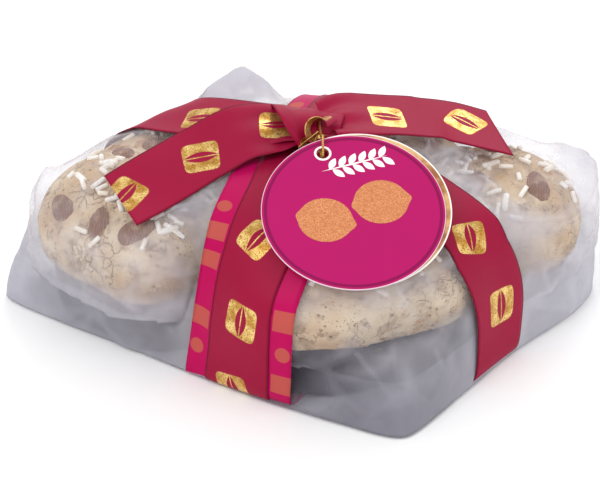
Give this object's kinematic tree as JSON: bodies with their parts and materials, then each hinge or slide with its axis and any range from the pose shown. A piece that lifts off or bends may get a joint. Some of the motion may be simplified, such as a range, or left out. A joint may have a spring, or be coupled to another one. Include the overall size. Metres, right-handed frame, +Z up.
{
  "type": "gift-wrapped easter cake",
  "caption": "Dove-shaped Easter cake with almonds and sugar in a paper case, packed in a frosted film bag with a paper band, wide satin ribbon and round swing tag.",
  "frame": {"origin": "middle of the parcel's box, on the surface it stands on", "axes": "+X from the dove's tail to its head, +Y away from the wing the tag lies on, +Z up"},
  "size_m": [0.306, 0.2572, 0.1122],
  "materials": {
    "cake": "dry crackled almond glaze over baked crumb",
    "baking_case": "dark baking paper with a faint gold print",
    "bag": "soft frosted translucent film",
    "label_band": "printed coated paper",
    "ribbon": "wide satin ribbon",
    "tag_front": "printed coated card",
    "tag_back": "printed coated card",
    "tag_string": "thin gold cord",
    "almond_skin": "dry brown almond skin",
    "pearl_sugar": "matt pressed sugar"
  },
  "bodies": {
    "root": {"cake": "cake", "baking_case": "baking_case", "bag": "bag", "label_band": "label_band", "ribbon": "ribbon", "tag_front": "tag_front", "tag_back": "tag_back", "tag_string": "tag_string", "almond_01": "almond_skin", "almond_02": "almond_skin", "almond_03": "almond_skin", "almond_04": "almond_skin", "almond_05": "almond_skin", "almond_06": "almond_skin", "almond_07": "almond_skin", "almond_08": "almond_skin", "almond_09": "almond_skin", "almond_10": "almond_skin", "almond_11": "almond_skin", "almond_12": "almond_skin", "almond_13": "almond_skin", "almond_14": "almond_skin", "sugar_stick_01": "pearl_sugar", "sugar_stick_02": "pearl_sugar", "sugar_stick_03": "pearl_sugar", "sugar_stick_04": "pearl_sugar", "sugar_stick_05": "pearl_sugar", "sugar_stick_06": "pearl_sugar", "sugar_stick_07": "pearl_sugar", "sugar_stick_08": "pearl_sugar", "sugar_stick_09": "pearl_sugar", "sugar_stick_10": "pearl_sugar", "sugar_stick_11": "pearl_sugar", "sugar_stick_12": "pearl_sugar", "sugar_stick_13": "pearl_sugar", "sugar_stick_14": "pearl_sugar"}
  },
  "joints": []
}
